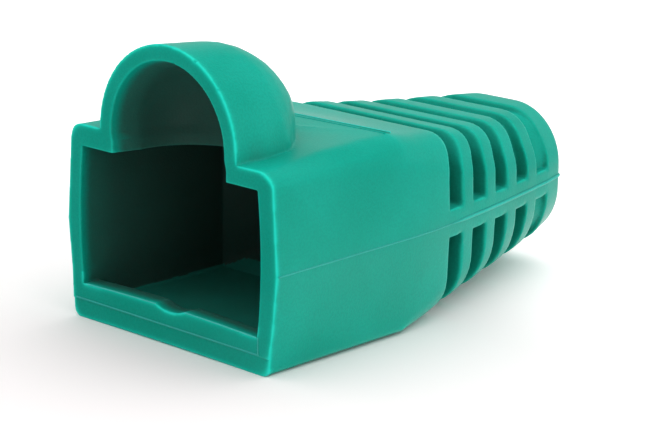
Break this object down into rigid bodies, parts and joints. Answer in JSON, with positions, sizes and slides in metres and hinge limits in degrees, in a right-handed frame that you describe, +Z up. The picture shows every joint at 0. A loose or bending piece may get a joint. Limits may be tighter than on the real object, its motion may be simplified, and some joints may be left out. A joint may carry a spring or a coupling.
{
  "type": "rj45 strain relief boot",
  "caption": "Soft moulded boot for a modular network plug: square plug housing, domed latch hood and a tapering ribbed tail with a round cable bore.",
  "frame": {"origin": "middle of the plug mouth's lower edge, where the mouth plane meets the plane of the flat underside", "axes": "+Y from the plug mouth along the cable bore to the cable end, +Z up through the latch hood, +X across the boot"},
  "size_m": [0.0142, 0.0244, 0.0143],
  "materials": {
    "soft_pvc": "green flexible moulded plastic, satin"
  },
  "bodies": {
    "root": {"strain_relief_boot": "soft_pvc"}
  },
  "joints": []
}
